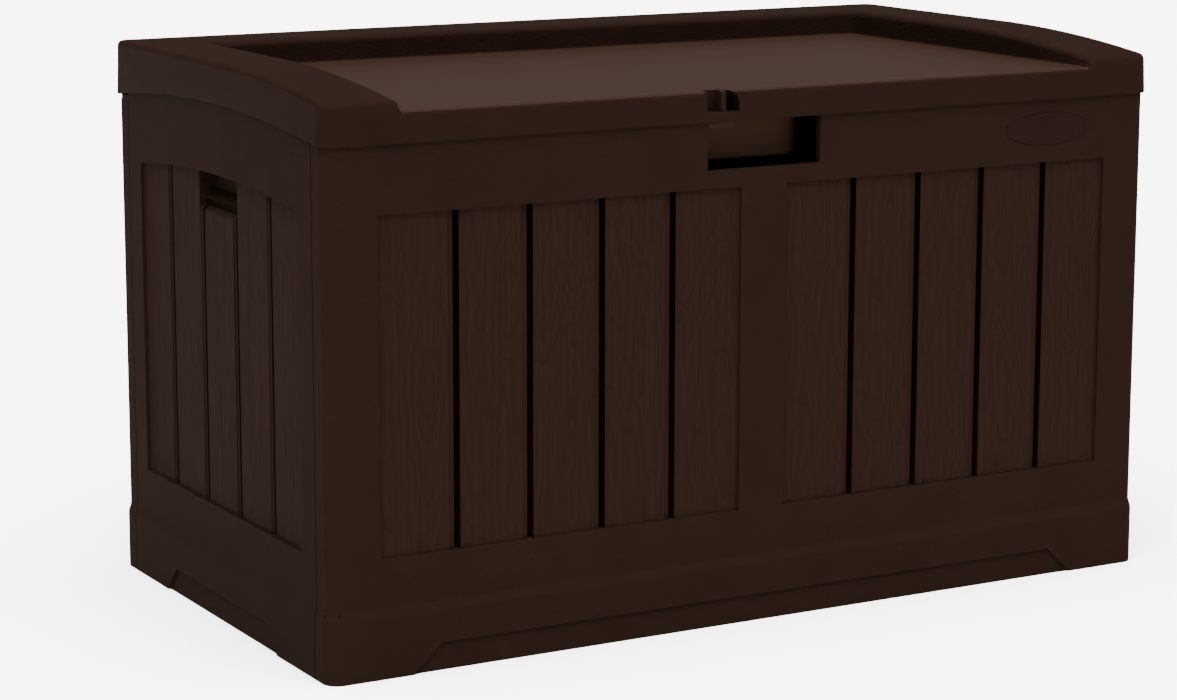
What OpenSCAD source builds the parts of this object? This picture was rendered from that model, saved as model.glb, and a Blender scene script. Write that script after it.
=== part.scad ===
// Resin deck storage box with a seat lid.
// Origin: bottom centre of the box. +X right, +Y to the back, +Z up. Millimetres.

/* [Overall size] */
// Length over the walls, left to right
length = 1040; // [840:10:1300]
// Depth over the walls, front to back
depth = 565; // [460:5:700]
// Height with the lid shut, ground to top of the rear rim
height = 618; // [510:2:760]

/* [Walls] */
// Wall thickness of the moulded panels
wall_t = 3.2; // [2.6:0.1:4]
// Outside radius of the upright corners
corner_r = 14; // [10:1:20]
// How far the front and back panels wrap round onto the sides
wrap = 32.5; // [28:0.5:45]
// Gap seen at each upright seam
seam_gap = 0.8; // [0.4:0.1:1.2]
// Height of the thick plinth band
plinth_h = 66; // [50:1:90]
// How far the plinth stands proud of the wall
plinth_proud = 3; // [2:0.5:4]
// Height of the sloped step above the plinth
plinth_slope = 9.5; // [6:0.5:14]
// Height of the shallow recess between the feet
foot_recess_h = 30.5; // [20:0.5:40]
// Width of each front corner foot at the ground
foot_w = 96; // [70:1:120]
// Width of each side corner foot at the ground
side_foot_w = 132; // [100:1:150]
// Slope of the recess ends, measured along the ground
foot_slope = 34; // [15:1:45]
// Width of the rim that the lid rests on
rim_w = 20; // [14:1:26]

/* [Boards] */
// Depth of the sunk field that holds the boards
field_inset = 4; // [2.5:0.1:4.5]
// Width of the groove between two boards
groove_w = 13; // [8:0.5:16]
// Depth of the groove below the board faces
groove_d = 7.5; // [4:0.5:9]
// Number of boards in each front or back field
front_boards = 5; // [3:1:7]
// Width of a side board, groove centre to groove centre
side_board_w = 90; // [60:1:96]
// Wall end to the first board
end_stile = 59; // [45:1:80]
// Half of the plain upright between the two fields
middle_stile = 29; // [20:1:40]
// Side wall end to the first side board
side_stile = 67.5; // [55:0.5:75]
// Ground to the bottom of the boards
bottom_rail = 127; // [100:1:150]
// Lid's lower edge down to the top of the boards
head_rail = 72; // [60:1:85]
// Rise of the arch over the side boards
side_arch = 12; // [6:1:20]

/* [Hand pockets and finger window] */
// Height of the hand pocket below the arch
pocket_h = 39; // [34:1:50]
// Depth of the hand pocket
pocket_d = 24; // [20:1:25]
// Width of the finger window in the front
window_w = 143; // [120:1:180]
// Depth of the finger window below the lid's edge
window_h = 52.5; // [40:0.5:70]

/* [Lid] */
// Height of the lid, lower edge to the top of the rear rim
lid_h = 62; // [56:1:72]
// Thickness of the lid's top skin
lid_t = 3.2; // [2.6:0.1:4]
// How far the lid's lower edge stands proud of the wall
lid_proud = 4; // [3.5:0.1:5]
// How much the lid's skirt draws in towards its top
lid_draft = 1.5; // [0.5:0.1:2]
// Running gap between the lid's skirt and the walls
skirt_gap = 0.8; // [0.6:0.1:1]
// Top of the rear rim down to the seat
seat_drop = 29; // [24:0.5:34]
// Width of each arm
arm_w = 86; // [70:1:110]
// Width of the rear rim
rear_rim_w = 86; // [70:1:100]
// How far the arms fall away towards the front
arm_fall = 19; // [10:1:24]
// Rise of the arch in the lid's side edge
skirt_arch = 18; // [10:1:20]
// Depth of the liner under the seat
liner_depth = 25; // [20:1:30]
// Wall thickness of the liner and its ribs
liner_t = 2.6; // [2:0.1:3.2]

/* [Hinges and lock] */
// Hinge pin diameter
pin_d = 6; // [5:0.5:8]
// Running clearance round a pin, on the radius
pin_gap = 0.06; // [0.03:0.01:0.1]
// Outside radius of a hinge knuckle
knuckle_r = 7.5; // [7:0.1:7.5]
// Length of the lid's knuckle
knuckle_len = 23; // [18:1:30]
// Padlock hole diameter
padlock_d = 9; // [7:0.5:10]
// Centre of the lock notch, left of the middle
notch_off = 54; // [50:1:60]
// Screw shank diameter
screw_d = 4; // [3:0.5:5]

/* [Hidden] */
$fn = 48;

resin = "#3a2a21";
steel = "#9a9c9e";
eps = 0.01;                 // overlap that makes two solids one
far = 3000;                 // longer than the box in any direction

half_l = length / 2;
half_d = depth / 2;
lid_z = height - lid_h;     // lid's lower edge
seat_z = height - seat_drop;
seat_under_z = seat_z - lid_t;
rest_gap = 0.5;             // lid to rim, kept open so that the two never rub
rim_z = seat_under_z - rest_gap;        // top of the front and side rims
seam_y = half_d - wrap;
field_top = lid_z - head_rail;
web_w = 26;                 // width of the upright webs that join the panels
web_t = 3;
boss_r = 5.5;
screw_gap = 0.25;

// Hinge line: just inside the lid's rear face, so that the skirt turns clear of the back panel
hinge_y = half_d + lid_proud - knuckle_r;
hinge_z = lid_z + 4;
back_skin_z = hinge_z - 8.9;            // top of the back panel's outer skin
upstand_y = hinge_y - 13.4;             // inner face of the upstand behind the skin
upstand_z = hinge_z - 2;
knuckle_gap = 0.5;
body_knuckle_len = 18;
hinge_half = knuckle_len / 2 + knuckle_gap + body_knuckle_len;
hinge_x = half_l - 190;                 // outer hinges from the middle
bore_r = pin_d / 2 + pin_gap;

ledge_w = 18;
floor_z = 24;               // top of the ledge that carries the floor
floor_t = 3.5;
floor_gap = 1;
floor_rib_t = 3;
floor_rib_z = 2;            // the ribs stop short of the ground

pull_back = 32;             // finger window face to the baffle
baffle_t = 3;
baffle_y = -half_d + pull_back;         // front face of the baffle
baffle_half = window_w / 2 - 4.5;
baffle_r = 16;
baffle_return = 26;
baffle_z = lid_z - window_h + 6.5;      // lower edge of the baffle

liner_z = seat_under_z - liner_depth;   // underside of the liner
liner_x = half_l - wall_t - rim_w - 3;
liner_front = baffle_y + baffle_t;
liner_back = upstand_y - 4;

notch_w = 40;
notch_left = -notch_off - notch_w / 2;
notch_right = notch_left + notch_w;
notch_floor = lid_z + 10;
notch_depth = 24.5;
notch_wall = 3;
notch_web_x = notch_left + 18;
notch_web_t = 6;
lock_x = (notch_left + notch_web_x) / 2;
lock_y = -half_d + 7;
notch_shallow = 16;         // depth of the notch left of its web
lug_t = 6.5;
lug_top = lid_z;
lug_right = notch_right - 5;

badge_l = 115;
badge_h = 35.5;
badge_x = half_l - 141;
badge_z = lid_z - 33.5;
badge_t = 1.2;
badge_rim = 3;

screw_head_r = 4.2;
screw_head_t = 2.4;
corner_screw_z = [130, 300, 470];

// ---- plain helpers -------------------------------------------------------------------

module rounded_plan(l, d, r) {
    square([l - 2 * r, d], center = true);
    square([l, d - 2 * r], center = true);
    for (x = [-1, 1], y = [-1, 1])
        translate([x * (l / 2 - r), y * (d / 2 - r)]) circle(r = r);
}

// Sweeps a section round the box: its x is the distance outside the walls, its y is height
module swept_section(r) {
    for (side = [0, 1]) {
        rotate([0, 0, 180 * side]) {
            translate([half_l - r, -half_d, 0]) rotate([90, 0, -90])
                linear_extrude(length - 2 * r) children();
            translate([half_l, half_d - r, 0]) rotate([90, 0, 0])
                linear_extrude(depth - 2 * r) children();
        }
        for (y = [-1, 1])
            rotate([0, 0, 180 * side]) translate([half_l - r, y * (half_d - r), 0])
                rotate([0, 0, y > 0 ? 0 : -90])
                    rotate_extrude(angle = 90) translate([r, 0]) children();
    }
}

// A box given by its low and high corners
module block(low, high) {
    translate(low) cube(high - low);
}

// Swaps the length axis for an upright section drawn in (y, z)
module along_x(from, to) {
    translate([from, 0, 0]) rotate([90, 0, 90]) linear_extrude(to - from) children();
}

// An upright section drawn in (x, z), extruded towards the back
module along_y(from, to) {
    translate([0, to, 0]) rotate([90, 0, 0]) linear_extrude(to - from) children();
}

function arc_radius(half_span, rise) = (half_span * half_span + rise * rise) / (2 * rise);

// Everything below an arc that crowns at the top and falls by rise at half_span
module under_arc(half_span, crown, rise, grow = 0) {
    r = arc_radius(half_span, rise);
    translate([0, crown - r]) circle(r = r + grow, $fn = 360);
}

module screw(r, len) {
    // Head below z = 0, shank upwards
    translate([0, 0, -screw_head_t]) difference() {
        cylinder(r = screw_head_r, h = screw_head_t);
        for (a = [0, 90]) rotate(a) translate([-2.4, -0.5, -eps]) cube([4.8, 1, 1.2]);
    }
    cylinder(r = r, h = len - 2);
    translate([0, 0, len - 2]) cylinder(r1 = r, r2 = 0.6, h = 2);
}

// ---- wall sections ---------------------------------------------------------------------

module wall_shell() {
    color(resin) swept_section(corner_r) polygon([
        [-wall_t, 0], [plinth_proud, 0], [plinth_proud, plinth_h],
        [0, plinth_h + plinth_slope], [0, rim_z], [-wall_t, rim_z]]);
}

// A flat flange turned inwards all round, w wide, from z to z + wall_t
module inner_flange(w, z) {
    translate([0, 0, z]) linear_extrude(wall_t) difference() {
        rounded_plan(length - wall_t, depth - wall_t, corner_r - wall_t / 2);
        rounded_plan(length - 2 * (wall_t + w), depth - 2 * (wall_t + w), 4);
    }
}

module front_zone() { block([-far, -far, -far], [far, -seam_y, far]); }
module back_zone() { block([-far, seam_y, -far], [far, far, far]); }
module side_zone() {
    block([-far, -seam_y + seam_gap, -far], [0, seam_y - seam_gap, far]);
}

// Outline of one field of boards on the front, in (x, z)
module front_field(sign, grow = 0) {
    low = middle_stile - grow;
    wide = half_l - end_stile - middle_stile + 2 * grow;
    translate([sign > 0 ? low : -low - wide, bottom_rail - grow])
        square([wide, field_top - bottom_rail + 2 * grow]);
}

// Outline of the field of boards on a side, in (y, z), with an arched top
module side_field(grow = 0) {
    half = half_d - side_stile;
    intersection() {
        translate([-half - grow, bottom_rail - grow])
            square([2 * (half + grow), field_top + side_arch - bottom_rail + 2 * grow]);
        under_arc(half, field_top + side_arch, side_arch, grow);
    }
}

function board_pitch() = (half_l - end_stile - middle_stile) / front_boards;
function front_groove(i) = middle_stile + i * board_pitch();
side_grooves = [-1.5 * side_board_w, -0.5 * side_board_w, 0.5 * side_board_w, 1.5 * side_board_w];

// Groove section, board faces at y = 0: a low step down from the board at -X, then a narrow slot
groove_step_w = 0.48 * groove_w;
groove_step_d = 1.3;        // depth of the step
groove_flank = 0.7;         // how far each steep flank leans
module groove_section(x) {
    edge = groove_w / 2;
    slot = groove_step_w - edge;
    translate([x, 0]) polygon([
        [-edge, 1], [-edge, 0], [-edge + groove_flank, -groove_step_d], [slot, -groove_step_d],
        [slot + groove_flank, -groove_d], [edge - groove_flank, -groove_d], [edge, 0], [edge, 1]]);
}

// Cuts for both fields of boards, for a wall face at y = -half_d
module front_board_cuts() {
    for (sign = [-1, 1]) {
        along_y(-half_d - 1, -half_d + field_inset) front_field(sign);
        for (i = [1 : front_boards - 1]) intersection() {
            along_y(-far, far) front_field(sign);
            translate([0, -half_d + field_inset, 0]) mirror([0, 1, 0])
                linear_extrude(height) groove_section(sign * front_groove(i));
        }
    }
}

// The backs of the grooves, so that the wall keeps its thickness behind them
module front_ridges() {
    deep = field_inset + groove_d + wall_t;
    for (sign = [-1, 1]) {
        for (i = [1 : front_boards - 1])
            translate([sign * front_groove(i) - groove_w / 2 - wall_t,
                    -half_d + wall_t - eps, bottom_rail - wall_t])
                cube([groove_w + 2 * wall_t, deep - wall_t, field_top - bottom_rail + 2 * wall_t]);
        along_y(-half_d + wall_t - eps, -half_d + wall_t + field_inset)
            front_field(sign, wall_t);
    }
}

// Upright webs at the corners of a front or back panel, with screw bosses
module corner_webs() {
    for (x = [-1, 1]) mirror([x < 0 ? 1 : 0, 0, 0]) {
        block([half_l - wall_t - web_w, -seam_y - web_t, floor_z], [half_l - wall_t + eps, -seam_y, upstand_z - 6]);
        for (z = corner_screw_z)
            translate([half_l - wall_t - web_w / 2, -seam_y, z]) rotate([90, 0, 0])
                cylinder(r = boss_r, h = 14);
    }
}

module corner_screw_holes(r, from, to) {
    for (x = [-1, 1], z = corner_screw_z)
        translate([x * (half_l - wall_t - web_w / 2), from, z]) rotate([-90, 0, 0])
            cylinder(r = r, h = to - from);
}

// Ledge that carries the floor, with a boss under each floor screw
floor_screw_x = [-0.36 * length, -0.12 * length, 0.12 * length, 0.36 * length];
module floor_ledge() {
    inner_flange(ledge_w, floor_z - wall_t);
}

module floor_screw_bosses(y) {
    for (x = floor_screw_x)
        translate([x, y, floor_z - 16]) cylinder(r = boss_r, h = 16);
}

module floor_screw_holes(y, r) {
    for (x = floor_screw_x)
        translate([x, y, floor_z - 15]) cylinder(r = r, h = 15 + floor_t + 2);
}
floor_screw_y = half_d - wall_t - ledge_w / 2;

// Shallow recess between the corner feet, cut into the plinth's face
module front_foot_recess() {
    half = half_l + plinth_proud - foot_w;
    along_y(-half_d - plinth_proud - 1, -half_d) polygon([
        [-half, -1], [half, -1], [half - foot_slope, foot_recess_h],
        [foot_slope - half, foot_recess_h]]);
}

module side_foot_recess() {
    half = half_d + plinth_proud - side_foot_w;
    slope = foot_slope * 0.8;
    along_x(half_l, half_l + plinth_proud + 1) polygon([
        [-half, -1], [half, -1], [half - slope, foot_recess_h - 1],
        [slope - half, foot_recess_h - 1]]);
}

// ---- walls -----------------------------------------------------------------------------

window_bottom = lid_z - window_h;
window_lip = 6;

// Rolled edge round the finger window, standing behind the wall
module window_surround() {
    half = window_w / 2;
    back = -half_d + wall_t + window_lip;
    block([-half - wall_t, -half_d + wall_t - eps, window_bottom - wall_t],
        [half + wall_t, back, rim_z]);
}

module front_panel() {
    color(resin) difference() {
        union() {
            intersection() {
                union() {
                    wall_shell();
                    inner_flange(rim_w, rim_z - wall_t);
                    floor_ledge();
                }
                front_zone();
            }
            front_ridges();
            corner_webs();
            window_surround();
            floor_screw_bosses(-floor_screw_y);
        }
        front_board_cuts();
        front_foot_recess();
        block([-window_w / 2, -far, window_bottom], [window_w / 2, -half_d + rim_w + 30, far]);
        // Room for the lock notch of the lid
        block([notch_left - notch_wall - 1.2, -far, notch_floor - notch_wall - 1.2],
            [0, -half_d + rim_w + 30, far]);
        corner_screw_holes(screw_d / 2, -seam_y - 13, 1 - seam_y);
        floor_screw_holes(-floor_screw_y, screw_d / 2);
        lock_lug_screw_holes();
    }
}

module body_knuckles(x) {
    for (side = [-1, 1])
        translate([x + side * (knuckle_len / 2 + knuckle_gap + body_knuckle_len / 2), 0, 0]) {
            translate([-body_knuckle_len / 2, hinge_y, hinge_z]) rotate([0, 90, 0])
                cylinder(r = knuckle_r, h = body_knuckle_len);
            block([-body_knuckle_len / 2, upstand_y, back_skin_z - wall_t],
                [body_knuckle_len / 2, hinge_y, hinge_z - 2]);
        }
}

module hinge_bore(x, from, to) {
    translate([x + from, hinge_y, hinge_z]) rotate([0, 90, 0]) cylinder(r = bore_r, h = to - from);
}

hinge_places = [-hinge_x, 0, hinge_x];

module back_panel() {
    color(resin) difference() {
        union() {
            intersection() {
                union() {
                    wall_shell();
                    floor_ledge();
                }
                back_zone();
                union() {
                    block([-far, -far, 0], [far, far, back_skin_z]);
                    block([-far, -far, 0], [far, upstand_y + wall_t, upstand_z]);
                }
            }
            // Shelf and upstand behind the rear skirt
            block([-half_l + wall_t, upstand_y, back_skin_z - wall_t],
                [half_l - wall_t, half_d - wall_t + eps, back_skin_z]);
            block([-half_l + wall_t, upstand_y, back_skin_z - wall_t],
                [half_l - wall_t, upstand_y + wall_t, upstand_z]);
            mirror([0, 1, 0]) {
                front_ridges();
                corner_webs();
                floor_screw_bosses(-floor_screw_y);
            }
            for (x = hinge_places) body_knuckles(x);
        }
        mirror([0, 1, 0]) {
            front_board_cuts();
            front_foot_recess();
            corner_screw_holes(screw_d / 2, -seam_y - 13, 1 - seam_y);
        }
        floor_screw_holes(floor_screw_y, screw_d / 2);
        for (x = hinge_places) hinge_bore(x, -hinge_half - 1, hinge_half + 1);
    }
}

// Hand pocket section in (x, z), x measured inwards from the wall face. The board below ends in
// a roll as deep as the grooves, and the pocket slopes in from there.
pocket_half = (side_board_w + groove_w) / 2 + 0.5;     // the middle board and its two grooves
pocket_slope_low = 32;      // arch down to the foot of the slope
pocket_slope_high = 21.5;   // arch down to the head of the slope
module pocket_section(grow) {
    top = field_top + side_arch;
    lip = top - pocket_h;
    roll = groove_d;
    polygon(concat(
        [[-2, lip - roll - grow]],
        [for (a = [180 : -10 : 90])
            [field_inset + roll + roll * cos(a) + grow, lip - roll + roll * sin(a) - grow]],
        [[field_inset + roll + grow, top - pocket_slope_low], [pocket_d + grow, top - pocket_slope_high],
        [pocket_d + grow, top + grow], [-2, top + grow]]));
}

module side_pocket(half, grow) {
    // Draws the pocket in the left wall and keeps it under the arch
    intersection() {
        translate([-half_l, 0, 0]) along_y(-half, half) pocket_section(grow);
        along_x(-half_l - (grow > 0 ? 0 : 2), 0) side_field(grow);
    }
}

module side_panel() {
    // The left panel; the right one is its mirror image
    face = field_inset - half_l;
    deep = field_inset + groove_d + wall_t;
    difference() {
        union() {
            intersection() {
                union() {
                    wall_shell();
                    inner_flange(rim_w, rim_z - wall_t);
                    floor_ledge();
                }
                side_zone();
            }
            // Webs that lie against those of the front and back panels
            for (y = [-1, 1]) mirror([0, y < 0 ? 1 : 0, 0])
                block([-half_l + wall_t - eps, seam_y - seam_gap - web_t, floor_z],
                    [-half_l + wall_t + web_w, seam_y, upstand_z - 6]);
            intersection() {
                for (y = side_grooves)
                    block([-half_l + wall_t - eps, y - groove_w / 2 - wall_t, 0],
                        [-half_l + deep, y + groove_w / 2 + wall_t, height]);
                along_x(-half_l, 0) side_field(wall_t);
            }
            along_x(-half_l + wall_t - eps, -half_l + wall_t + field_inset) side_field(wall_t);
            side_pocket(pocket_half + wall_t, wall_t);
        }
        along_x(-half_l - 1, face) side_field();
        intersection() {
            along_x(-far, far) side_field();
            for (y = side_grooves) translate([face, y, 0]) mirror([1, 1, 0])
                linear_extrude(height) groove_section(0);
        }
        side_pocket(pocket_half, 0);
        mirror([1, 0, 0]) side_foot_recess();
        for (y = [-1, 1]) mirror([0, y < 0 ? 1 : 0, 0])
            corner_screw_holes(screw_d / 2 + screw_gap, seam_y - 8, seam_y + 1);
    }
}

module left_side_panel() { color(resin) side_panel(); }
module right_side_panel() { color(resin) mirror([1, 0, 0]) side_panel(); }

// ---- floor -----------------------------------------------------------------------------

module floor_panel() {
    l = length - 2 * (wall_t + floor_gap);
    d = depth - 2 * (wall_t + floor_gap);
    inner_x = half_l - wall_t - ledge_w - floor_gap;
    inner_y = half_d - wall_t - ledge_w - floor_gap;
    color(resin) difference() {
        union() {
            difference() {
                translate([0, 0, floor_z]) linear_extrude(floor_t) rounded_plan(l, d, 8);
                // Room for the upright webs and bosses in the corners
                for (x = [-1, 1], y = [-1, 1])
                    translate([x * half_l, y * (seam_y + 2), floor_z + floor_t / 2])
                        cube([2 * (wall_t + web_w + floor_gap), 34, 2 * floor_t], center = true);
            }
            // Ribs under the floor reach almost to the ground
            for (i = [-5 : 5])
                translate([i * inner_x / 5.5 - floor_rib_t / 2, -inner_y, floor_rib_z])
                    cube([floor_rib_t, 2 * inner_y, floor_z - floor_rib_z + eps]);
            for (i = [-3 : 3])
                translate([-inner_x, i * inner_y / 3.5 - floor_rib_t / 2, floor_rib_z])
                    cube([2 * inner_x, floor_rib_t, floor_z - floor_rib_z + eps]);
        }
        for (y = [-1, 1]) floor_screw_holes(y * floor_screw_y, screw_d / 2 + screw_gap);
    }
}

module floor_screws() {
    color(steel) for (x = floor_screw_x, y = [-1, 1])
        translate([x, y * floor_screw_y, floor_z + floor_t]) mirror([0, 0, 1])
            screw(screw_d / 2 - 0.05, 16);
}

module corner_screws() {
    color(steel) for (x = [-1, 1], y = [-1, 1], z = corner_screw_z)
        translate([x * (half_l - wall_t - web_w / 2), y * (seam_y - seam_gap - web_t), z])
            rotate([y > 0 ? -90 : 90, 0, 0]) screw(screw_d / 2 - 0.05, 14);
}

// ---- lock and badge ----------------------------------------------------------------------

lug_left = -window_w / 2;
lug_plate_w = 26;
lug_plate_t = 3;
lug_screw_z = [lug_top - lug_t - 16, lug_top - 3];
lug_plate_top = lug_top + 4;

module lock_lug_screw_holes() {
    for (z = lug_screw_z)
        translate([lug_left - wall_t - lug_plate_w / 2, -half_d + 1.2, z]) rotate([-90, 0, 0])
            cylinder(r = 1.5, h = 10);
}

module lock_lug() {
    // A lug that reaches into the window, on a plate behind the wall
    back = -half_d + wall_t + window_lip;
    color(resin) difference() {
        union() {
            block([lug_left + 0.2, -half_d, lug_top - lug_t], [lug_right, back + 9, lug_top]);
            block([lug_left - wall_t - lug_plate_w, back, lug_top - lug_t - 24],
                [lug_left, back + lug_plate_t, lug_plate_top]);
            block([lug_left - wall_t - lug_plate_w, -half_d + wall_t, lug_top - lug_t - 24],
                [lug_left - wall_t - 0.2, back + eps, lug_plate_top]);
            block([lug_left - wall_t, back, lug_top - lug_t], [lug_right, back + 9, lug_top]);
        }
        translate([lock_x, lock_y, lug_top - lug_t - 1]) cylinder(r = padlock_d / 2, h = lug_t + 2);
        for (z = lug_screw_z)
            translate([lug_left - wall_t - lug_plate_w / 2, -half_d, z]) rotate([-90, 0, 0])
                cylinder(r = 1.75, h = 20);
    }
}

module lock_lug_screws() {
    color(steel) for (z = lug_screw_z)
        translate([lug_left - wall_t - lug_plate_w / 2, -half_d + wall_t + window_lip + lug_plate_t, z])
            rotate([90, 0, 0]) screw(1.45, 9.8);
}

module oval(l, h) {
    polygon([for (a = [0 : 6 : 354]) [l / 2 * cos(a), h / 2 * sin(a)]]);
}

module badge() {
    // A plain oval plate with a raised rim and no lettering
    color(resin) translate([badge_x, 0, badge_z]) {
        along_y(-half_d - badge_t * 0.6, -half_d) oval(badge_l, badge_h);
        along_y(-half_d - badge_t, -half_d) difference() {
            oval(badge_l, badge_h);
            oval(badge_l - 2 * badge_rim, badge_h - 2 * badge_rim);
        }
    }
}

// ---- lid ---------------------------------------------------------------------------------

arm_flat_y = -8;            // where the arms start to fall
lid_top_out = lid_proud - lid_draft;
lid_front = -half_d - lid_proud;
arm_run = arm_flat_y - lid_front;

// Side view of the lid's top, lowered by drop, in (y, z)
module lid_side_view(drop) {
    r = arc_radius(arm_run, arm_fall);
    translate([arm_flat_y, lid_z - 10]) square([far, lid_h + 10 - drop]);
    intersection() {
        translate([lid_front - 5, lid_z - 10]) square([arm_run + 5 + eps, lid_h + 10]);
        translate([arm_flat_y, height - r]) circle(r = r - drop, $fn = 720);
    }
}

module lid_envelope() {
    r = corner_r + lid_top_out;
    intersection() {
        union() {
            translate([0, 0, lid_z])
                linear_extrude(lid_h) rounded_plan(length + 2 * lid_top_out, depth + 2 * lid_top_out, r);
            swept_section(corner_r) polygon([
                [0, lid_z], [lid_proud, lid_z], [lid_top_out, height], [0, height]]);
        }
        along_x(-far, far) lid_side_view(0);
    }
}

module seat_well() {
    // Open towards the front, between the arms and the rear rim
    r = 12;
    x = half_l + lid_top_out - arm_w;
    y = half_d + lid_top_out - rear_rim_w;
    flare = 9;
    flare_back = 0.7 * flare;   // the arms' ends meet the front at an angle
    translate([0, 0, seat_z]) linear_extrude(lid_h) {
        translate([-x + r, -far]) square([2 * (x - r), far + y]);
        translate([-x, -far]) square([2 * x, far + y - r]);
        for (side = [-1, 1]) translate([side * (x - r), y - r]) circle(r = r);
        // The arms' front ends turn outwards
        for (side = [-1, 1]) mirror([side < 0 ? 1 : 0, 0]) difference() {
            translate([x - eps, lid_front - 5]) square([flare, flare_back + 5]);
            translate([x + flare, lid_front + flare_back]) circle(r = flare);
        }
    }
}

module lid_hollow() {
    // Inside of the skirt, arms and rear rim
    r = corner_r + skirt_gap;
    x = half_l + lid_top_out - arm_w;
    y = half_d + lid_top_out - rear_rim_w;
    intersection() {
        translate([0, 0, lid_z - 1])
            linear_extrude(lid_h) rounded_plan(length + 2 * skirt_gap, depth + 2 * skirt_gap, r);
        along_x(-far, far) lid_side_view(lid_t);
        union() {
            block([-far, -far, -far], [far, far, seat_under_z]);
            block([-far, y + lid_t, -far], [far, far, far]);
            for (side = [-1, 1]) mirror([side < 0 ? 1 : 0, 0, 0])
                block([x + lid_t, -far, -far], [far, far, far]);
        }
    }
}

module lock_notch_housing() {
    block([notch_left - notch_wall, lid_front + 1.5, notch_floor - notch_wall],
        [notch_right + notch_wall, lid_front + notch_depth + notch_wall, seat_z - 1]);
}

module lock_notch() {
    // Right side is vertical, then curves over to the left at the top
    round_r = 15;
    side_h = seat_z - notch_floor - round_r;
    difference() {
        along_y(lid_front - 1, lid_front + notch_depth) {
            translate([notch_left, notch_floor]) square([notch_w - round_r, far]);
            translate([notch_left, notch_floor]) square([notch_w, side_h]);
            translate([notch_right - round_r, notch_floor + side_h]) circle(r = round_r);
        }
        // Upright web, and the shallower back on its left
        block([notch_web_x, lid_front + 2.5, 0], [notch_web_x + notch_web_t, far, far]);
        block([notch_left - 1, lid_front + notch_shallow, 0], [notch_web_x + eps, far, far]);
    }
    translate([lock_x, lock_y, notch_floor - notch_wall - 1])
        cylinder(r = padlock_d / 2, h = notch_wall + 2);
}

// Openings in the rear skirt where the hinge knuckles stand
module hinge_windows() {
    for (x = hinge_places)
        block([x - hinge_half - 4, hinge_y + 1, lid_z - 1], [x + hinge_half + 4, far, hinge_z + 9.5]);
}

liner_screw_x = [-0.40 * length, -0.2 * length, 0, 0.2 * length, 0.40 * length];
liner_screw_y = [-0.3 * depth, 0.04 * depth, 0.3 * depth];
liner_boss_r = 5;

module liner_bosses() {
    for (x = liner_screw_x, y = liner_screw_y) translate([x, y, 0]) children();
}

module lid_shell() {
    color(resin) difference() {
        union() {
            difference() {
                lid_envelope();
                lid_hollow();
                seat_well();
                // Arch in the lower edge of both sides
                along_x(-far, far) under_arc(half_d, lid_z + skirt_arch, skirt_arch);
            }
            lock_notch_housing();
            liner_bosses() translate([0, 0, liner_z + liner_t])
                cylinder(r = liner_boss_r, h = liner_depth - liner_t + 1);
        }
        lock_notch();
        hinge_windows();
        liner_bosses() translate([0, 0, liner_z]) cylinder(r = screw_d / 2, h = 18);
    }
}

bracket_half = 30;
bracket_t = 3;
bracket_screw_x = 21;
bracket_screw_z = hinge_z + 13;

module lid_liner() {
    top = seat_under_z;
    wide = liner_x - liner_t;
    pocket_low = liner_z + liner_t;
    color(resin) difference() {
        union() {
            difference() {
                block([-liner_x, liner_front, liner_z], [liner_x, liner_back, top]);
                block([-wide, liner_front + liner_t, pocket_low], [wide, liner_back - liner_t, top + 1]);
            }
            // Ribs that carry the seat
            for (i = [-3 : 3])
                block([i * wide / 4 + 12, liner_front, liner_z], [i * wide / 4 + 12 + liner_t, liner_back, top]);
            for (y = [-0.17 * depth, 0.17 * depth])
                block([-liner_x, y, liner_z], [liner_x, y + liner_t, top]);
            // Bosses behind the hinge brackets
            for (x = hinge_places, side = [-1, 1])
                translate([x + side * bracket_screw_x, liner_back, bracket_screw_z]) rotate([90, 0, 0])
                    cylinder(r = boss_r - 1, h = 13);
            // Bosses behind the baffle
            for (side = [-1, 1])
                translate([side * baffle_half / 2, liner_front, liner_z + liner_depth / 2])
                    rotate([-90, 0, 0]) cylinder(r = boss_r - 1, h = 13);
        }
        liner_bosses() translate([0, 0, liner_z + liner_t])
            cylinder(r = liner_boss_r + 0.3, h = liner_depth + 1);
        liner_bosses() translate([0, 0, liner_z - 1]) cylinder(r = screw_d / 2 + screw_gap, h = 10);
        for (x = hinge_places, side = [-1, 1])
            translate([x + side * bracket_screw_x, liner_back + 1, bracket_screw_z]) rotate([90, 0, 0])
                cylinder(r = screw_d / 2, h = 13);
        for (side = [-1, 1])
            translate([side * baffle_half / 2, liner_front - 1, liner_z + liner_depth / 2])
                rotate([-90, 0, 0]) cylinder(r = screw_d / 2, h = 13);
    }
}

module lid_liner_screws() {
    color(steel) liner_bosses() translate([0, 0, liner_z]) screw(screw_d / 2 - 0.05, 17);
}

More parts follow.
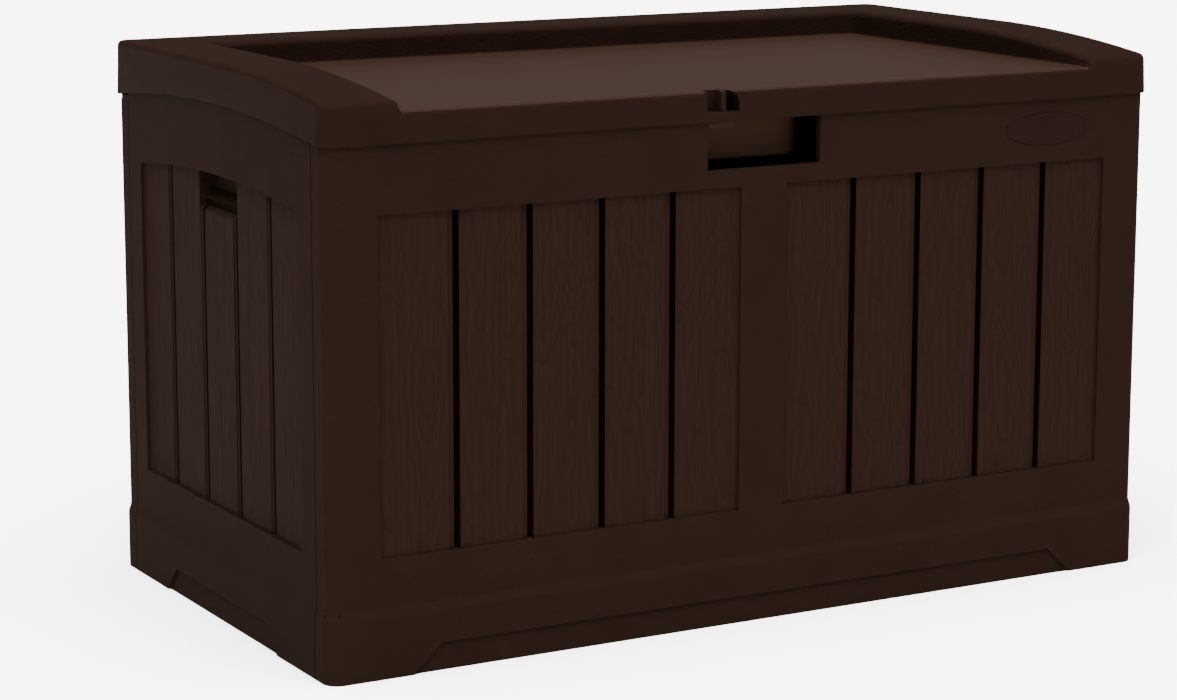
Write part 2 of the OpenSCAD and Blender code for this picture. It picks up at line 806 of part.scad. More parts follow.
module lid_baffle() {
    // Hangs behind the finger window; its ends turn back with a large radius
    half = baffle_half;
    top = seat_under_z - 1;
    flat = half - baffle_r;
    color(resin) difference() {
        union() {
            block([-flat, baffle_y, baffle_z + 2], [flat, baffle_y + baffle_t, top]);
            translate([-flat, baffle_y + 2, baffle_z + 2]) rotate([0, 90, 0]) cylinder(r = 2, h = 2 * flat);
            for (side = [-1, 1]) mirror([side < 0 ? 1 : 0, 0, 0]) {
                translate([flat, baffle_y + baffle_r, baffle_z + 2]) rotate([0, 0, -90])
                    rotate_extrude(angle = 90) translate([baffle_r - baffle_t, 0])
                        square([baffle_t, liner_z - baffle_z - 3]);
                block([half - baffle_t, baffle_y + baffle_r, baffle_z + 2],
                    [half, baffle_y + baffle_return, liner_z - 1]);
            }
        }
        for (side = [-1, 1])
            translate([side * baffle_half / 2, baffle_y - 1, liner_z + liner_depth / 2])
                rotate([-90, 0, 0]) cylinder(r = screw_d / 2 + screw_gap, h = baffle_t + 2);
    }
}

module lid_baffle_screws() {
    color(steel) for (side = [-1, 1])
        translate([side * baffle_half / 2, baffle_y, liner_z + liner_depth / 2])
            rotate([-90, 0, 0]) screw(screw_d / 2 - 0.05, 13);
}

// ---- hinges ------------------------------------------------------------------------------

module hinge_bracket(x) {
    // Plate on the back of the liner, an arm and a knuckle
    color(resin) translate([x, 0, 0]) difference() {
        union() {
            block([-bracket_half, liner_back, hinge_z + 3],
                [bracket_half, liner_back + bracket_t, seat_under_z - 2]);
            block([-knuckle_len / 2, liner_back + bracket_t - eps, hinge_z + 3],
                [knuckle_len / 2, hinge_y, hinge_z + knuckle_r]);
            for (side = [-1, 1])
                along_x(side * (knuckle_len / 2 - 1.5) - 1.5, side * (knuckle_len / 2 - 1.5) + 1.5)
                    polygon([[liner_back + 1, hinge_z + 5], [hinge_y, hinge_z + 5],
                        [liner_back + 1, seat_under_z - 3]]);
            translate([-knuckle_len / 2, hinge_y, hinge_z]) rotate([0, 90, 0])
                cylinder(r = knuckle_r, h = knuckle_len);
        }
        hinge_bore(0, -knuckle_len / 2 - 1, knuckle_len / 2 + 1);
        for (side = [-1, 1])
            translate([side * bracket_screw_x, liner_back - 1, bracket_screw_z]) rotate([-90, 0, 0])
                cylinder(r = screw_d / 2 + screw_gap, h = bracket_t + 2);
    }
}

module hinge_bracket_left() { hinge_bracket(hinge_places[0]); }
module hinge_bracket_centre() { hinge_bracket(hinge_places[1]); }
module hinge_bracket_right() { hinge_bracket(hinge_places[2]); }

module hinge_bracket_screws() {
    color(steel) for (x = hinge_places, side = [-1, 1])
        translate([x + side * bracket_screw_x, liner_back + bracket_t, bracket_screw_z])
            rotate([90, 0, 0]) screw(screw_d / 2 - 0.05, 14);
}

pin_head_t = 2;
pin_over = 3;               // stub that takes the push-on clip
clip_t = 1.2;

module hinge_pin(x) {
    color(steel) translate([x, hinge_y, hinge_z]) rotate([0, 90, 0]) {
        translate([0, 0, -hinge_half - 0.1]) cylinder(r = pin_d / 2, h = 2 * hinge_half + 0.1 + pin_over);
        translate([0, 0, -hinge_half - 0.1 - pin_head_t]) cylinder(r = pin_d / 2 + 2, h = pin_head_t);
    }
}

module hinge_pin_left() { hinge_pin(hinge_places[0]); }
module hinge_pin_centre() { hinge_pin(hinge_places[1]); }
module hinge_pin_right() { hinge_pin(hinge_places[2]); }

module hinge_pin_clips() {
    color(steel) for (x = hinge_places)
        translate([x + hinge_half + 0.3, hinge_y, hinge_z]) rotate([0, 90, 0]) difference() {
            cylinder(r = pin_d / 2 + 2.5, h = clip_t);
            translate([0, 0, -1]) cylinder(r = pin_d / 2 + 0.02, h = clip_t + 2);
        }
}

front_panel();
back_panel();
left_side_panel();
right_side_panel();
floor_panel();
lock_lug();
badge();
corner_screws();
floor_screws();
lock_lug_screws();
hinge_pin_left();
hinge_pin_centre();
hinge_pin_right();
hinge_pin_clips();
lid_shell();
lid_liner();
lid_baffle();
hinge_bracket_left();
hinge_bracket_centre();
hinge_bracket_right();
hinge_bracket_screws();
lid_liner_screws();
lid_baffle_screws();
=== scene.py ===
import math

import bmesh
import bpy
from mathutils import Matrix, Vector


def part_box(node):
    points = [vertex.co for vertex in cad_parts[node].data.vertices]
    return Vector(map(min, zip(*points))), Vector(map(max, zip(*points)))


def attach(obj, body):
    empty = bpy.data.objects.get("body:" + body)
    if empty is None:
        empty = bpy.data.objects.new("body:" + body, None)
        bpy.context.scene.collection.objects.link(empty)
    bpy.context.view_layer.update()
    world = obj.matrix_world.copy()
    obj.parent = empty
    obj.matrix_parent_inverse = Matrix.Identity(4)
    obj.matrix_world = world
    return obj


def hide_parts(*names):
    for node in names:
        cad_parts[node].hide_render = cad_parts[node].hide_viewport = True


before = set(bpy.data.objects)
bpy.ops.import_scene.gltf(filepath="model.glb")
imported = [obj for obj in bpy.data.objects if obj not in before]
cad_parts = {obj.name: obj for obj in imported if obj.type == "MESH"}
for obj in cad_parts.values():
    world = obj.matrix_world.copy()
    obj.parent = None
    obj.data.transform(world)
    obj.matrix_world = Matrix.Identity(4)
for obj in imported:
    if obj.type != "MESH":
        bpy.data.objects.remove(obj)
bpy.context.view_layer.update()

MM = 0.001

# ---- sizes in mm, taken from the frame -----------------------------------------------------

WALL_LOW, WALL_HIGH = (v * 1000 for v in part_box("front_panel"))
PLINTH_PROUD = 3.0
HALF_L = WALL_HIGH.x - PLINTH_PROUD         # wall faces left and right
HALF_D = -WALL_LOW.y - PLINTH_PROUD         # wall faces front and back
TOP_Z = (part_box("lid_shell")[1] * 1000).z                          # top of the lid's rear rim
SEAT_Z = TOP_Z - 29.0                       # seat
LID_Z = TOP_Z - 62.0                        # lower edge of the lid
FIELD_INSET = 4.0                           # boards sit this far behind the frame
GROOVE_DEPTHS = (1.3, 7.5)                  # step and slot of a groove, behind the boards
FIELD_LOW = 127.0                           # boards, lower end
FIELD_HIGH = LID_Z - 72.0                   # boards, upper end
SIDE_RISE = 12.0                            # arch over the side boards
PLINTH_Z = 66.0
SLOPE_Z = 75.5
ARM_FLAT_Y = -8.0                           # behind this the arms are level
ARM_FALL = 19.0                             # and in front of it they fall away by this much


def hex_rgb(code):
    """sRGB hex to linear RGBA."""
    out = []
    for i in (1, 3, 5):
        c = int(code[i:i + 2], 16) / 255
        out.append(c / 12.92 if c <= 0.04045 else ((c + 0.055) / 1.055) ** 2.4)
    return (*out, 1.0)


# ---- materials -----------------------------------------------------------------------------

def add_node(tree, kind, inputs=(), **settings):
    """One shader node; inputs is a dict of socket name to a value or to another node's socket."""
    node = tree.nodes.new(kind)
    for key, value in settings.items():
        setattr(node, key, value)
    for key, value in dict(inputs).items():
        if isinstance(value, bpy.types.NodeSocket):
            tree.links.new(value, node.inputs[key])
        else:
            node.inputs[key].default_value = value
    return node


def new_material(name, color, roughness, specular=0.3, metallic=0.0):
    mat = bpy.data.materials.new(name)
    mat.use_nodes = True
    shader = mat.node_tree.nodes["Principled BSDF"]
    shader.inputs["Base Color"].default_value = hex_rgb(color)
    shader.inputs["Roughness"].default_value = roughness
    shader.inputs["Specular IOR Level"].default_value = specular
    shader.inputs["Metallic"].default_value = metallic
    return mat, mat.node_tree, shader


def new_resin(name, color, roughness, specular):
    """Pigmented polypropylene: its weak gloss takes the brown of the pigment near the surface."""
    mat, tree, shader = new_material(name, color, roughness, specular)
    shader.inputs["Specular Tint"].default_value = hex_rgb("#ffc09e")
    return mat, tree, shader


def millimetres(tree, scale=(1, 1, 1)):
    """Object coordinates in mm, each axis divided by its scale."""
    coords = add_node(tree, "ShaderNodeTexCoord")
    factors = tuple(1000 / s for s in scale)
    sockets = {"Vector": coords.outputs["Object"], "Scale": factors}
    return add_node(tree, "ShaderNodeMapping", sockets).outputs[0]


def noise_at(tree, scale, detail=2.0, roughness=0.5):
    """Noise whose grains are as large as scale says, in mm along X, Y and Z."""
    sockets = {"Vector": millimetres(tree, scale), "Scale": 1.0, "Detail": detail, "Roughness": roughness}
    return add_node(tree, "ShaderNodeTexNoise", sockets).outputs["Fac"]


def combine(tree, operation, a, b):
    return add_node(tree, "ShaderNodeMath", {0: a, 1: b}, operation=operation).outputs[0]


def set_bump(tree, shader, height, distance_mm, strength=1.0):
    bump = add_node(tree, "ShaderNodeBump", {
        "Height": height, "Distance": distance_mm * MM, "Strength": strength})
    tree.links.new(bump.outputs["Normal"], shader.inputs["Normal"])


def set_colour_drift(tree, shader, factor, dark, light):
    """The base colour drifts a little between two close shades."""
    ramp = add_node(tree, "ShaderNodeMix", {"Factor": factor, 6: hex_rgb(dark), 7: hex_rgb(light)},
                    data_type="RGBA")
    tree.links.new(ramp.outputs[2], shader.inputs["Base Color"])


def pebbled_resin(name, color, dark, light, relief=0.3, gloss=0.001):
    # Moulded polypropylene with a leathery pebble: dull, slightly sparkling under a low light
    mat, tree, shader = new_resin(name, color, 0.55, gloss)
    coarse = noise_at(tree, (4.2, 4.2, 4.2), 3.0, 0.62)
    fine = noise_at(tree, (1.6, 1.6, 1.6), 1.0)
    height = combine(tree, "ADD", coarse, combine(tree, "MULTIPLY", fine, 0.35))
    set_bump(tree, shader, height, relief * 4)
    set_colour_drift(tree, shader, noise_at(tree, (60, 60, 60)), dark, light)
    return mat


def board_resin(name, color, dark, light):
    # The same plastic with pressed wood grain: long upright fibres and drifting growth rings
    mat, tree, shader = new_resin(name, color, 0.55, 0.001)
    fibre = noise_at(tree, (3.6, 3.6, 110), 3.0, 0.65)
    drift = noise_at(tree, (52, 52, 230), 2.0, 0.5)
    rings = combine(tree, "FRACT", combine(tree, "MULTIPLY", drift, 15.0), 0.0)
    ring_line = combine(tree, "POWER", rings, 5.0)
    height = combine(tree, "SUBTRACT", fibre, combine(tree, "MULTIPLY", ring_line, 0.3))
    set_bump(tree, shader, height, 2.2)
    set_colour_drift(tree, shader, height, dark, light)
    return mat


def lit_seat_resin(name, color):
    # The seat: a broad, weak sheen and a fine orange peel. Its base colour, lighter than the rest of the lid,
    # is painted light where the overhead light falls on the top
    mat, tree, shader = new_resin(name, color, 0.5, 0.025)
    set_bump(tree, shader, noise_at(tree, (2.2, 2.2, 2.2), 2.0), 0.16)
    return mat


def satin_resin(name, color, roughness=0.45):
    # Smooth mould face: an even, soft sheen with the faintest unevenness
    mat, tree, shader = new_resin(name, color, roughness, 0.05)
    set_bump(tree, shader, noise_at(tree, (5, 5, 5), 2.0), 0.08)
    return mat


def zinc(name, color):
    # Bright zinc plate: bluish white metal, softly brushed
    mat, tree, shader = new_material(name, color, 0.32, 0.5, 1.0)
    set_bump(tree, shader, noise_at(tree, (0.3, 0.3, 4), 2.0), 0.02)
    return mat


def make_materials():
    return {
        "wall_resin": pebbled_resin("wall_resin_pebbled", "#110a07", "#100906", "#130b08"),
        "boards": board_resin("wall_resin_boards", "#130b08", "#100907", "#170e0a"),
        # Near-black resin for the slots' floors and walls: painted shade in the deep grooves
        "slots": pebbled_resin("wall_resin_slots", "#060302", "#050201", "#070302"),
        "lid_resin": pebbled_resin("lid_resin_pebbled", "#100906", "#0f0806", "#120a07", 0.2, 0.002),
        # The seat's lighter colour is painted light on the lit top of the lid
        "seat": lit_seat_resin("lid_resin_seat_painted_light", "#160d09"),
        "liner_resin": satin_resin("liner_resin_satin", "#110804"),
        "floor_resin": satin_resin("floor_resin_satin", "#110804"),
        "fitting_resin": satin_resin("fitting_resin_satin", "#0d0604"),
        "badge_resin": pebbled_resin("badge_resin_smooth", "#110907", "#100806", "#120a08", 0.05),
        "pin_steel": zinc("pin_zinc", "#c4c7ca"),
        "screw_steel": zinc("screw_zinc", "#b9bcbe"),
    }


# ---- moulded edges -------------------------------------------------------------------------

class Edge:
    """A sharp edge in mm: middle, direction, the two face normals and whether it stands out."""

    def __init__(self, edge):
        a, b = edge.link_faces
        self.mid = (edge.verts[0].co + edge.verts[1].co) * 500
        self.along = (edge.verts[1].co - edge.verts[0].co).normalized()
        self.normals = (a.normal.copy(), b.normal.copy())
        self.angle = math.degrees(a.normal.angle(b.normal, 0.0))
        self.convex = edge.is_convex


def room(edge):
    """Largest radius in mm that the edges crossing this one leave for it."""
    best = 1e9
    along = (edge.verts[1].co - edge.verts[0].co).normalized()
    for vert in edge.verts:
        for other in vert.link_edges:
            if other is edge or not set(other.link_faces) & set(edge.link_faces):
                continue
            way = (other.other_vert(vert).co - vert.co).normalized()
            if abs(way.dot(along)) < 0.8:
                best = min(best, other.calc_length() * 1000 * 0.46)
    return best


def clean_copy(node):
    """The CAD node's mesh with its split corners joined and its flat faces whole."""
    mesh = bmesh.new()
    mesh.from_mesh(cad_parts[node].data)
    bmesh.ops.remove_doubles(mesh, verts=mesh.verts, dist=0.02 * MM)
    bmesh.ops.dissolve_limit(mesh, angle_limit=math.radians(0.5), verts=mesh.verts, edges=mesh.edges,
                             delimit=set())
    return mesh


def weigh_edges(mesh, rule, largest):
    layer = mesh.edges.layers.float.new("bevel_weight_edge")
    for face in mesh.faces:
        face.smooth = True
    for edge in mesh.edges:
        if len(edge.link_faces) != 2:
            continue
        facts = Edge(edge)
        radius = rule(facts) if facts.angle > 14 else 0
        radius = min(radius, room(edge))
        if radius > 0.05:
            edge[layer] = radius / largest
        elif facts.angle > 25:
            edge.smooth = False


def softened(node, name, body, rule, materials, pick=None, segments=3):
    """A copy of a CAD node with rounded moulded edges, shown in the node's place.

    rule gives each sharp edge its radius in mm; pick gives each face its material's index.
    """
    mesh = clean_copy(node)
    largest = 3.0
    weigh_edges(mesh, rule, largest)
    if pick:
        for face in mesh.faces:
            face.material_index = pick(face.calc_center_median() * 1000, face.normal)
    obj = mesh_object(name, mesh)
    show_for(obj, node, body, materials, largest, segments)


def show_for(obj, node, body, materials, largest, segments):
    """Rounds the weighted edges and shows obj in the CAD node's place."""
    for mat in materials:
        obj.data.materials.append(mat)
    bevel = obj.modifiers.new("edges", "BEVEL")
    bevel.limit_method = "WEIGHT"
    bevel.width = largest * MM
    bevel.segments = segments
    bevel.use_clamp_overlap = False
    weighted = obj.modifiers.new("normals", "WEIGHTED_NORMAL")
    weighted.keep_sharp = True
    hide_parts(node)
    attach(obj, body)


# ---- edge rules ----------------------------------------------------------------------------

INSIDE = 2.5                # edges deeper than this in a wall are not on its outer face
WINDOW_HALF = 76.0          # reach of the finger window and its rounded edges
WINDOW_LOW = LID_Z - 56
POCKET_HALF = 54.0          # reach of a hand pocket and its rounded edges
POCKET_DEPTH = 25.0
POCKET_LOW = FIELD_HIGH - 40
RIM_LOW = SEAT_Z - 8        # above this lies the rim under the lid


def outside_depth(p):
    """How far a point lies inside the wall faces, in mm."""
    return min(HALF_L - abs(p.x), HALF_D - abs(p.y))


def runs_inwards(edge):
    """True for an edge that runs from a wall's face into the wall."""
    side = HALF_L - abs(edge.mid.x) < HALF_D - abs(edge.mid.y)
    return abs(edge.along.x if side else edge.along.y) > 0.5


def in_field(edge):
    """True for the outlines of boards and grooves, and not for the ribs inside the wall."""
    depth = outside_depth(edge.mid)
    levels = (FIELD_INSET, *(FIELD_INSET + d for d in GROOVE_DEPTHS))
    return not runs_inwards(edge) and any(abs(depth - level) < 0.2 for level in levels)


def wall_rule(edge):
    """Radius of each moulded edge of the four walls."""
    p = edge.mid
    depth = outside_depth(p)
    at_window = abs(p.x) < WINDOW_HALF and p.y < 0 and p.z > WINDOW_LOW
    at_pocket = abs(p.y) < POCKET_HALF and abs(p.x) > HALF_L - POCKET_DEPTH and p.z > POCKET_LOW
    if depth > INSIDE and not (at_window or at_pocket or in_field(edge) or p.z > RIM_LOW):
        return 0
    if p.z < 1:
        return 1.0
    if abs(p.z - PLINTH_Z) < 1 or abs(p.z - SLOPE_Z) < 1:
        return 2.2 if depth < 1 else 0.4
    if depth < FIELD_INSET + 0.3:
        # Frames, boards and groove mouths
        return 0.7 if edge.angle > 40 else 0
    if depth < 26:
        return 0.55
    return 0.4


def lid_rule(edge):
    """Rounds the skirt's lower edge, the lock notch and the hinge windows."""
    p = edge.mid
    if p.y > HALF_D - 6 and p.z < LID_Z + 16:
        return 0.8
    if -80 < p.x < -28 and p.y < -255 and p.z > LID_Z + 6:
        return 0.9 if edge.convex else 0.5
    if edge.normals[0].z < -0.8 or edge.normals[1].z < -0.8:
        return 1.2 if outside_depth(p) < -2 else 0.5
    return 0


def small_rule(radius):
    return lambda edge: radius


def face_kind(p, normal):
    """1 for the boards, 2 for the slots between them, which take a near-black resin as painted shade, and 0
    for the frame round them.
    """
    # A hand pocket's own walls are as deep as the slots
    away_from_corner = HALF_D - abs(p.y) > 60
    at_pocket = away_from_corner and abs(p.x) > HALF_L - POCKET_DEPTH and p.z > POCKET_LOW + 7
    if at_pocket and outside_depth(p) > FIELD_INSET + 0.3:
        return 0
    if not FIELD_LOW < p.z < FIELD_HIGH + SIDE_RISE or abs(normal.z) > 0.3:
        return 0
    depth = outside_depth(p) - FIELD_INSET
    step, slot = GROOVE_DEPTHS
    # Slot floors and slot walls get the near-black painted shade
    if abs(depth - slot) < 0.2 or abs(depth - (step + slot) / 2 + 0.3) < 0.6:
        return 2
    return int(max(abs(normal.x), abs(normal.y)) > 0.9 and abs(depth) < 0.3)


# ---- lid -----------------------------------------------------------------------------------

LID_PROUD = 4.0             # lower edge of the skirt, outside the walls
LID_DRAFT = 1.5             # how much the skirt draws in towards its top
LID_WALL = 3.2
EDGE_R = 6.0                # round along the lid's outer top edge
OUT_X = HALF_L + LID_PROUD - LID_DRAFT
OUT_Y = HALF_D + LID_PROUD - LID_DRAFT
CORNER = 16.5               # plan radius of the lid's corners
WELL_X = OUT_X - 86.0       # inner face of the arms
WELL_Y = OUT_Y - 86.0       # inner face of the rear rim
WELL_R = 12.0
FLARE_R = 9.0               # the arms' inner front corners turn outwards
FLARE_Y = -HALF_D - LID_PROUD + 6.3
ARCH = 18.0                 # rise of the skirt's lower edge at the sides


def arm_top(y):
    """Height of the arms at y."""
    if y > ARM_FLAT_Y:
        return TOP_Z
    run = ARM_FLAT_Y + HALF_D + LID_PROUD
    radius = (run * run + ARM_FALL * ARM_FALL) / (2 * ARM_FALL)
    return TOP_Z - radius + math.sqrt(radius * radius - (ARM_FLAT_Y - y) ** 2)


def into_arm(x, y):
    """Distance from the well's outline, positive on the arms and the rear rim."""
    x = abs(x)
    if y < FLARE_Y and x < WELL_X + FLARE_R:
        return FLARE_R - math.hypot(x - WELL_X - FLARE_R, y - FLARE_Y)
    dx, dy = x - WELL_X + WELL_R, y - WELL_Y + WELL_R
    if dx > 0 and dy > 0:
        return math.hypot(dx, dy) - WELL_R
    return max(x - WELL_X, y - WELL_Y)


def lid_height(x, y):
    """The lid's top: arms and rear rim with rolled inner edges, down a leaning wall to the seat."""
    top = arm_top(y)
    roll = min(8.0, 0.7 * (top - SEAT_Z))
    foot, lean = 2.4, 1.2
    t = into_arm(x, y)
    if t >= roll:
        return top
    if t >= 0:
        return top - roll + math.sqrt(roll * roll - (roll - t) ** 2)
    if t >= -lean:
        return top - roll + (top - roll - SEAT_Z - foot) * t / lean
    away = -t - lean
    if away < foot:
        return SEAT_Z + foot - math.sqrt(foot * foot - (foot - away) ** 2)
    return SEAT_Z


def lower_edge(y):
    """Height of the skirt's lower edge, arched between front and back."""
    if abs(y) >= HALF_D:
        return LID_Z
    radius = (HALF_D * HALF_D + ARCH * ARCH) / (2 * ARCH)
    return LID_Z + ARCH - radius + math.sqrt(radius * radius - y * y)


# Distances from the well's outline at which the lid's grid has a line
WELL_STEPS = (-5, -4.2, -3.6, -3.3, -3, -2.6, -2.2, -1.8, -1.5, -1.2, -0.6, 0, 0.06, 0.25, 0.6, 1.1, 1.7, 2.5,
              3.4, 4.4, 5.5, 6.7, 8, 10, 13, 17)
CORNER_STEPS = (-14, -12, -10.5, -9, -7.5, -6)


def grid_lines(half, near):
    """Even lines across, with the close ones added as given."""
    even = [half * i / 12 for i in range(-12, 13)]
    lines = sorted(set(even + near))
    kept = [lines[0]]
    for value in lines[1:]:
        if value - kept[-1] > 0.12:
            kept.append(value)
    kept[-1] = half
    return kept


def lid_stations(xs, ys):
    """Points round the core rectangle, counter-clockwise from the front left, with outward directions."""
    hx, hy = OUT_X - CORNER, OUT_Y - CORNER
    out = []
    sides = [([(x, -hy) for x in xs], -90), ([(hx, y) for y in ys], 0),
             ([(x, hy) for x in reversed(xs)], 90), ([(-hx, y) for y in reversed(ys)], 180)]
    for points, angle in sides:
        way = (math.cos(math.radians(angle)), math.sin(math.radians(angle)))
        out += [(p, way) for p in points]
        for step in range(1, 9):
            turn = math.radians(angle + step * 10)
            out.append((points[-1], (math.cos(turn), math.sin(turn))))
    return out


def lid_surface():
    """The lid's outer surface as one open mesh: top, rolled outer edge and skirt."""
    steps = [*WELL_STEPS, *CORNER_STEPS]
    near_x = [s * (WELL_X + t) for t in steps for s in (-1, 1)]
    near_y = [WELL_Y + t for t in steps]
    near_y += [ARM_FLAT_Y - i * 13.0 for i in range(20)]
    hx, hy = OUT_X - CORNER, OUT_Y - CORNER
    xs, ys = grid_lines(hx, near_x), grid_lines(hy, near_y)
    mesh = bmesh.new()
    top = {}
    for i, x in enumerate(xs):
        for j, y in enumerate(ys):
            top[i, j] = mesh.verts.new((x * MM, y * MM, lid_height(x, y) * MM))
    for i in range(len(xs) - 1):
        for j in range(len(ys) - 1):
            mesh.faces.new((top[i, j], top[i + 1, j], top[i + 1, j + 1], top[i, j + 1]))
    core = {}
    for (i, j), vert in top.items():
        core[round(xs[i], 4), round(ys[j], 4)] = vert
    stations = lid_stations(xs, ys)
    rings = [[core[round(p[0], 4), round(p[1], 4)] for p, way in stations]]
    reach = [(e, 0.0) for e in (4, 8, CORNER - EDGE_R)]
    reach += [(CORNER - EDGE_R + EDGE_R * math.sin(a), EDGE_R * (1 - math.cos(a)))
              for a in (math.radians(d) for d in range(9, 91, 9))]
    for e, drop in reach:
        ring = []
        for p, way in stations:
            x, y = p[0] + way[0] * e, p[1] + way[1] * e
            ring.append(mesh.verts.new((x * MM, y * MM, (lid_height(x, y) - drop) * MM)))
        rings.append(ring)
    shoulder = [vert.co.z / MM for vert in rings[-1]]
    for part in (0.25, 0.5, 0.75, 1.0):
        ring = []
        for (p, way), high in zip(stations, shoulder):
            e = CORNER + LID_DRAFT * part
            x, y = p[0] + way[0] * e, p[1] + way[1] * e
            z = high + (lower_edge(y) - high) * part
            ring.append(mesh.verts.new((x * MM, y * MM, z * MM)))
        rings.append(ring)
    count = len(stations)
    for inner, outer in zip(rings, rings[1:]):
        for k in range(count):
            corners = [inner[k], outer[k], outer[(k + 1) % count], inner[(k + 1) % count]]
            if corners[0] is corners[3]:
                corners.pop()
            mesh.faces.new(corners)
    bmesh.ops.recalc_face_normals(mesh, faces=mesh.faces)
    return mesh


def prism(outline, low_y, high_y):
    """A closed solid from an outline of (x, z) points in mm."""
    mesh = bmesh.new()
    ends = [[mesh.verts.new((x * MM, y * MM, z * MM)) for x, z in outline] for y in (low_y, high_y)]
    mesh.faces.new(ends[0])
    mesh.faces.new(reversed(ends[1]))
    for k in range(len(outline)):
        n = (k + 1) % len(outline)
        mesh.faces.new((ends[0][n], ends[0][k], ends[1][k], ends[1][n]))
    bmesh.ops.recalc_face_normals(mesh, faces=mesh.faces)
    return mesh


def rectangle(x0, x1, z0, z1):
    return [(x0, z0), (x1, z0), (x1, z1), (x0, z1)]


def mesh_object(name, mesh):
    data = bpy.data.meshes.new(name)
    mesh.to_mesh(data)
    mesh.free()
    obj = bpy.data.objects.new(name, data)
    bpy.context.scene.collection.objects.link(obj)
    return obj


def notch_cutters():
    """The lock notch is open in front and above; its right side curves over at the top."""
    front = -HALF_D - LID_PROUD
    left, right, floor = -74.0, -34.0, LID_Z + 10.0
    radius, high = 15.0, TOP_Z + 10
    side = SEAT_Z - floor - radius
    curve = [(right - radius + radius * math.cos(a), floor + side + radius * math.sin(a))
             for a in (math.radians(d) for d in range(0, 91, 9))]
    tail = [(right - radius, high), (left, high)]
    whole = [(left, floor), (right, floor), *curve, *tail]
    right_part = [(left + 24, floor), (right, floor), *curve, (right - radius, high), (left + 24, high)]
    left_part = rectangle(left, left + 18, floor, high)
    return [prism(whole, front - 4, front + 2.5), prism(left_part, front - 3, front + 16),
            prism(right_part, front - 3, front + 24.5)]


def cut(obj, operation, meshes):
    """Adds the meshes to obj, or takes them away, with one modifier each."""
    helpers = []
    for number, mesh in enumerate(meshes):
        helper = mesh_object("helper", mesh)
        helpers.append(helper)
        boolean = obj.modifiers.new("cut", "BOOLEAN")
        boolean.operation = operation
        boolean.solver = "EXACT"
        boolean.object = helper
    data = baked(obj)
    obj.modifiers.clear()
    obj.data = data
    for helper in helpers:
        bpy.data.objects.remove(helper)


def baked(obj):
    graph = bpy.context.evaluated_depsgraph_get()
    return bpy.data.meshes.new_from_object(obj.evaluated_get(graph))


def make_lid_top(mats):
    """The seat, arms, rear rim and skirt in one moulding."""
    obj = mesh_object("lid_top", lid_surface())
    thick = obj.modifiers.new("wall", "SOLIDIFY")
    thick.thickness = LID_WALL * MM
    thick.offset = -1
    front = -HALF_D - LID_PROUD
    housing = prism(rectangle(-77, -31, LID_Z + 7, SEAT_Z - 1), front + 1.6, front + 27.5)
    cut(obj, "UNION", [housing])
    hinge_y = HALF_D + LID_PROUD - 7.5
    windows = [prism(rectangle(x - 34, x + 34, LID_Z - 5, LID_Z + 13.5), hinge_y + 1, hinge_y + 20)
               for x in (-(HALF_L - 190), 0, HALF_L - 190)]
    cut(obj, "DIFFERENCE", notch_cutters() + windows)
    mesh = bmesh.new()
    mesh.from_mesh(obj.data)
    bmesh.ops.remove_doubles(mesh, verts=mesh.verts, dist=0.01 * MM)
    largest = 2.0
    weigh_edges(mesh, lid_rule, largest)
    for face in mesh.faces:
        p = face.calc_center_median() * 1000
        # The seat's upward faces take the lighter seat material: painted light on the lit top
        face.material_index = int(face.normal.z > 0.5 and abs(p.z - SEAT_Z) < 1.5 and into_arm(p.x, p.y) < -2)
    mesh.to_mesh(obj.data)
    mesh.free()
    show_for(obj, "lid_shell", "lid", [mats["lid_resin"], mats["seat"]], largest, 3)


# ---- pieces --------------------------------------------------------------------------------

def make_walls(mats):
    for node in ("front_panel", "back_panel", "left_side_panel", "right_side_panel"):
        # The walls' slots take the near-black painted-shade resin
        softened(node, node.replace("panel", "wall"), "box", wall_rule,
                 [mats["wall_resin"], mats["boards"], mats["slots"]], face_kind, 2)
    softened("floor_panel", "floor_board", "box", small_rule(0.5), [mats["floor_resin"]],
             segments=2)


def make_lid(mats):
    make_lid_top(mats)
    softened("lid_liner", "lid_underside", "lid", small_rule(0.5), [mats["liner_resin"]],
             segments=2)
    softened("lid_baffle", "finger_baffle", "lid", small_rule(0.8), [mats["liner_resin"]])


def make_fittings(mats):
    softened("lock_lug", "padlock_lug", "box", small_rule(0.7), [mats["fitting_resin"]])
    softened("badge", "oval_badge", "box", small_rule(0.25), [mats["badge_resin"]], segments=2)
    for side in ("left", "centre", "right"):
        softened("hinge_bracket_" + side, "hinge_knuckle_" + side, "lid", small_rule(0.6),
                 [mats["fitting_resin"]], segments=2)


def finish_frame(mats):
    """Gives the CAD nodes that stay shown their materials."""
    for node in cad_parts.values():
        for place in node.material_slots:
            key = place.material.name.split(".")[0]
            if key in mats:
                place.material = mats[key]


# ---- stage ---------------------------------------------------------------------------------

def make_floor():
    data = bpy.data.meshes.new("studio_floor")
    half = 60.0
    data.from_pydata([(-half, -half, 0), (half, -half, 0), (half, half, 0), (-half, half, 0)], [],
                     [(0, 1, 2, 3)])
    floor = bpy.data.objects.new("studio_floor", data)
    # Matt white paper: no gloss, so that only the soft shadow shows
    mat, tree, shader = new_material("studio_paper", "#fcfcfc", 0.9, 0.1)
    data.materials.append(mat)
    bpy.context.scene.collection.objects.link(floor)


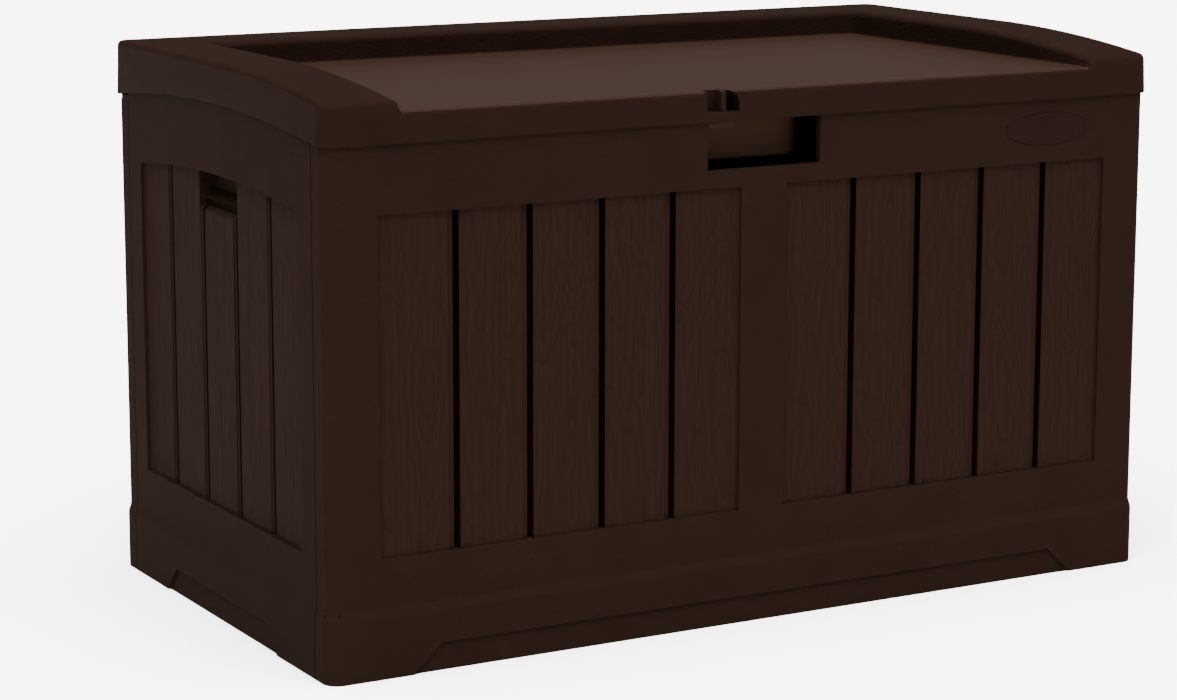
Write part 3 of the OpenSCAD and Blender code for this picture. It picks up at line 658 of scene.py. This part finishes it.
def make_sun(name, direction, strength, spread):
    light = bpy.data.lights.new(name, "SUN")
    light.energy = strength
    light.angle = math.radians(spread)
    obj = bpy.data.objects.new(name, light)
    obj.rotation_mode = "QUATERNION"
    obj.rotation_quaternion = Vector(direction).to_track_quat("-Z", "Y")
    bpy.context.scene.collection.objects.link(obj)


def make_area(name, place, target, size, power):
    light = bpy.data.lights.new(name, "AREA")
    light.shape = "RECTANGLE"
    light.size, light.size_y = size
    light.energy = power
    obj = bpy.data.objects.new(name, light)
    obj.location = place
    obj.rotation_mode = "QUATERNION"
    obj.rotation_quaternion = (Vector(target) - Vector(place)).to_track_quat("-Z", "Y")
    bpy.context.scene.collection.objects.link(obj)


def make_light():
    world = bpy.data.worlds.new("studio")
    world.use_nodes = True
    back = world.node_tree.nodes["Background"]
    back.inputs["Color"].default_value = (1, 1, 1, 1)
    back.inputs["Strength"].default_value = 0.4
    bpy.context.scene.world = world
    make_sun("overhead", (0.12, 0.25, -1), 24.0, 70)
    make_area("left_fill", (-3.2, -1.6, 1.7), (0, 0, 0.3), (2.2, 2.2), 6)


CAMERA_PLACE = (-1.8124, -3.1020, 0.9554)   # in front, to the left, a little above the lid
CAMERA_YAW = math.radians(29.133)
CAMERA_PITCH = math.radians(9.962)


def make_camera():
    cam = bpy.data.cameras.new("camera")
    cam.sensor_width = 36.0
    cam.lens = 95.88785
    cam.shift_x = 0.0165
    cam.shift_y = -0.05
    cam.clip_end = 300
    yaw, pitch = CAMERA_YAW, CAMERA_PITCH
    obj = bpy.data.objects.new("camera", cam)
    obj.location = CAMERA_PLACE
    obj.rotation_mode = "QUATERNION"
    forward = Vector((math.sin(yaw) * math.cos(pitch), math.cos(yaw) * math.cos(pitch), -math.sin(pitch)))
    obj.rotation_quaternion = forward.to_track_quat("-Z", "Y")
    bpy.context.scene.collection.objects.link(obj)
    bpy.context.scene.camera = obj


mats = make_materials()
make_walls(mats)
make_lid(mats)
make_fittings(mats)
finish_frame(mats)
make_floor()
make_light()
make_camera()
